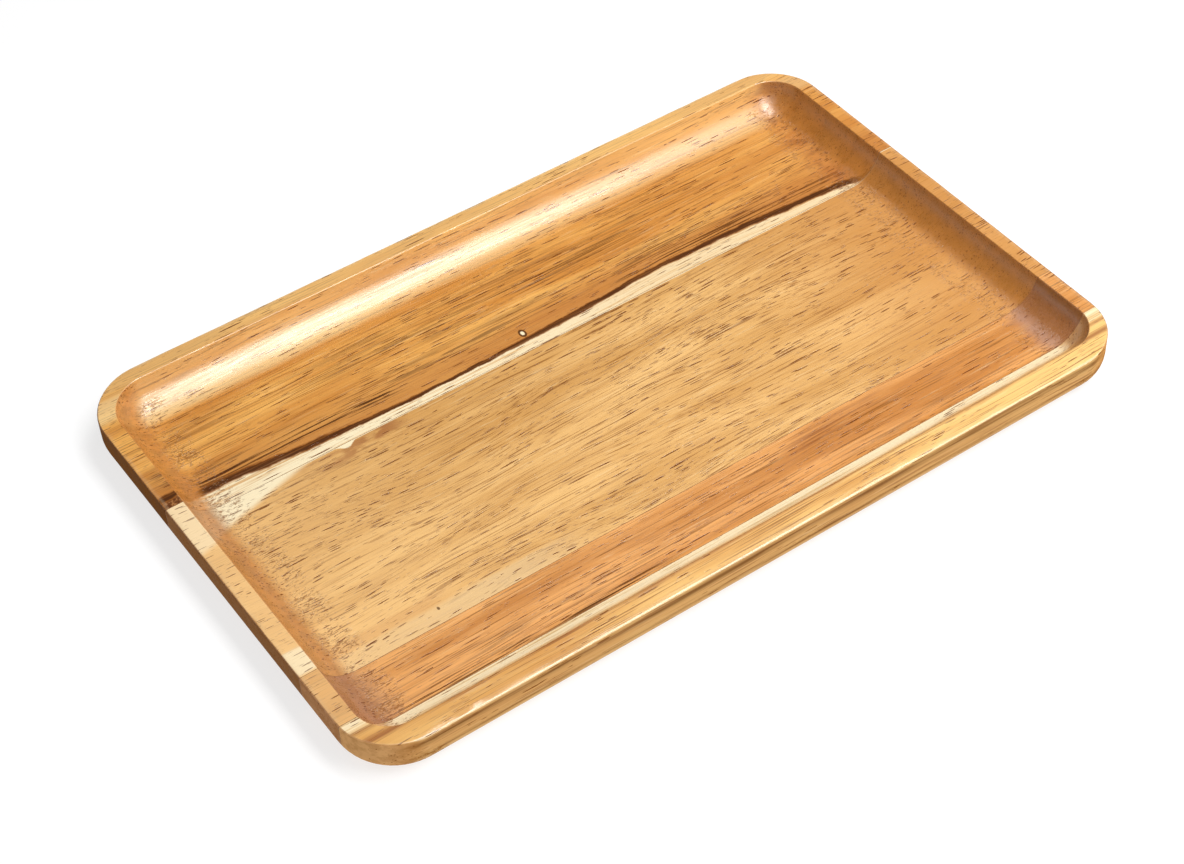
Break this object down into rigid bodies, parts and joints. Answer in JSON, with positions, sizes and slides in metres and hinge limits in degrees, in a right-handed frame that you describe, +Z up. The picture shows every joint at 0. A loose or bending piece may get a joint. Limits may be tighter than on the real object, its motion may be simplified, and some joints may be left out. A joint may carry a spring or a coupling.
{
  "type": "serving tray",
  "caption": "Low rectangular wooden serving tray, edge-glued from solid staves, with a flat rim, a coved recess and an undercut side.",
  "frame": {"origin": "middle of the flat underside, on the surface the tray stands on", "axes": "+X along the long side and the grain, +Y from the front to the back, +Z up out of the recess"},
  "size_m": [0.356, 0.228, 0.018],
  "materials": {
    "front_stave_wood": "oiled satin",
    "inner_front_stave_wood": "oiled satin",
    "centre_stave_wood": "oiled satin",
    "back_stave_wood": "oiled satin",
    "glue": "cured wood glue"
  },
  "bodies": {
    "root": {"front_stave": "front_stave_wood", "inner_front_stave": "inner_front_stave_wood", "centre_stave": "centre_stave_wood", "back_stave": "back_stave_wood", "front_glue_line": "glue", "centre_glue_line": "glue", "back_glue_line": "glue"}
  },
  "joints": []
}
